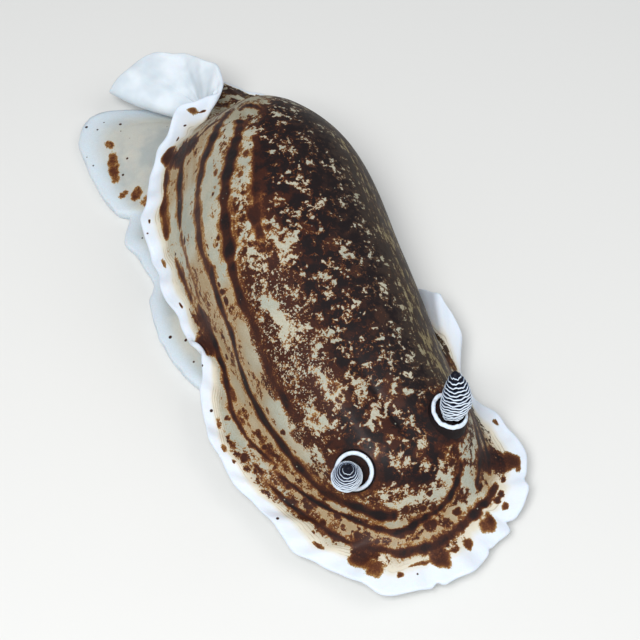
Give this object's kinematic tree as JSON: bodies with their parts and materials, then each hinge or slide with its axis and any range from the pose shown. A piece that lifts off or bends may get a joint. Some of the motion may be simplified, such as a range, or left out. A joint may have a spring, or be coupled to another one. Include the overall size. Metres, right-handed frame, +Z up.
{
  "type": "sea slug",
  "caption": "Life-size sea slug with a rippled white-edged brown mantle, ringed rhinophores in raised sheaths and half-drawn gills, resting on its foot.",
  "frame": {"origin": "centre of the bounding box in plan, at the level of the flat sole", "axes": "+Y towards the tail, -Y towards the head, +X the animal's left, +Z up"},
  "size_m": [0.0263, 0.0679, 0.0165],
  "materials": {
    "mantle_head": "wet skin, brown mottling on cream",
    "mantle_back": "wet skin, brown mottling on cream",
    "mantle_tail": "wet skin, brown mottling on cream",
    "mantle_rim_front": "wet white skin",
    "mantle_rim_right_front": "wet white skin",
    "mantle_rim_right_rear": "wet white skin",
    "mantle_rim_tail": "wet white skin",
    "mantle_rim_left_rear": "wet white skin",
    "mantle_rim_left_front": "wet white skin",
    "foot_front": "wet, plain pale grey",
    "foot_middle": "wet, plain pale grey",
    "tail": "wet, bluish grey with brown spots",
    "head": "wet pale skin",
    "oral_tentacle_right": "wet pale skin",
    "oral_tentacle_left": "wet pale skin",
    "rhinophore_sheath_right": "wet, white lip, dark wall",
    "rhinophore_sheath_left": "wet, white lip, dark wall",
    "rhinophore_right": "wet, blue-black with white leaf edges",
    "rhinophore_left": "wet, blue-black with white leaf edges",
    "gill_pocket_rim": "wet brown skin with pale lip",
    "gill_plume": "wet, pale grey-brown"
  },
  "bodies": {
    "root": {"mantle_head": "mantle_head", "mantle_back": "mantle_back", "mantle_tail": "mantle_tail", "mantle_rim_front": "mantle_rim_front", "mantle_rim_right_front": "mantle_rim_right_front", "mantle_rim_right_rear": "mantle_rim_right_rear", "mantle_rim_tail": "mantle_rim_tail", "mantle_rim_left_rear": "mantle_rim_left_rear", "mantle_rim_left_front": "mantle_rim_left_front", "foot_front": "foot_front", "foot_middle": "foot_middle", "tail": "tail", "head": "head", "oral_tentacle_right": "oral_tentacle_right", "oral_tentacle_left": "oral_tentacle_left", "rhinophore_sheath_right": "rhinophore_sheath_right", "rhinophore_sheath_left": "rhinophore_sheath_left", "rhinophore_right": "rhinophore_right", "rhinophore_left": "rhinophore_left", "gill_pocket_rim": "gill_pocket_rim", "gill_plume": "gill_plume"}
  },
  "joints": []
}
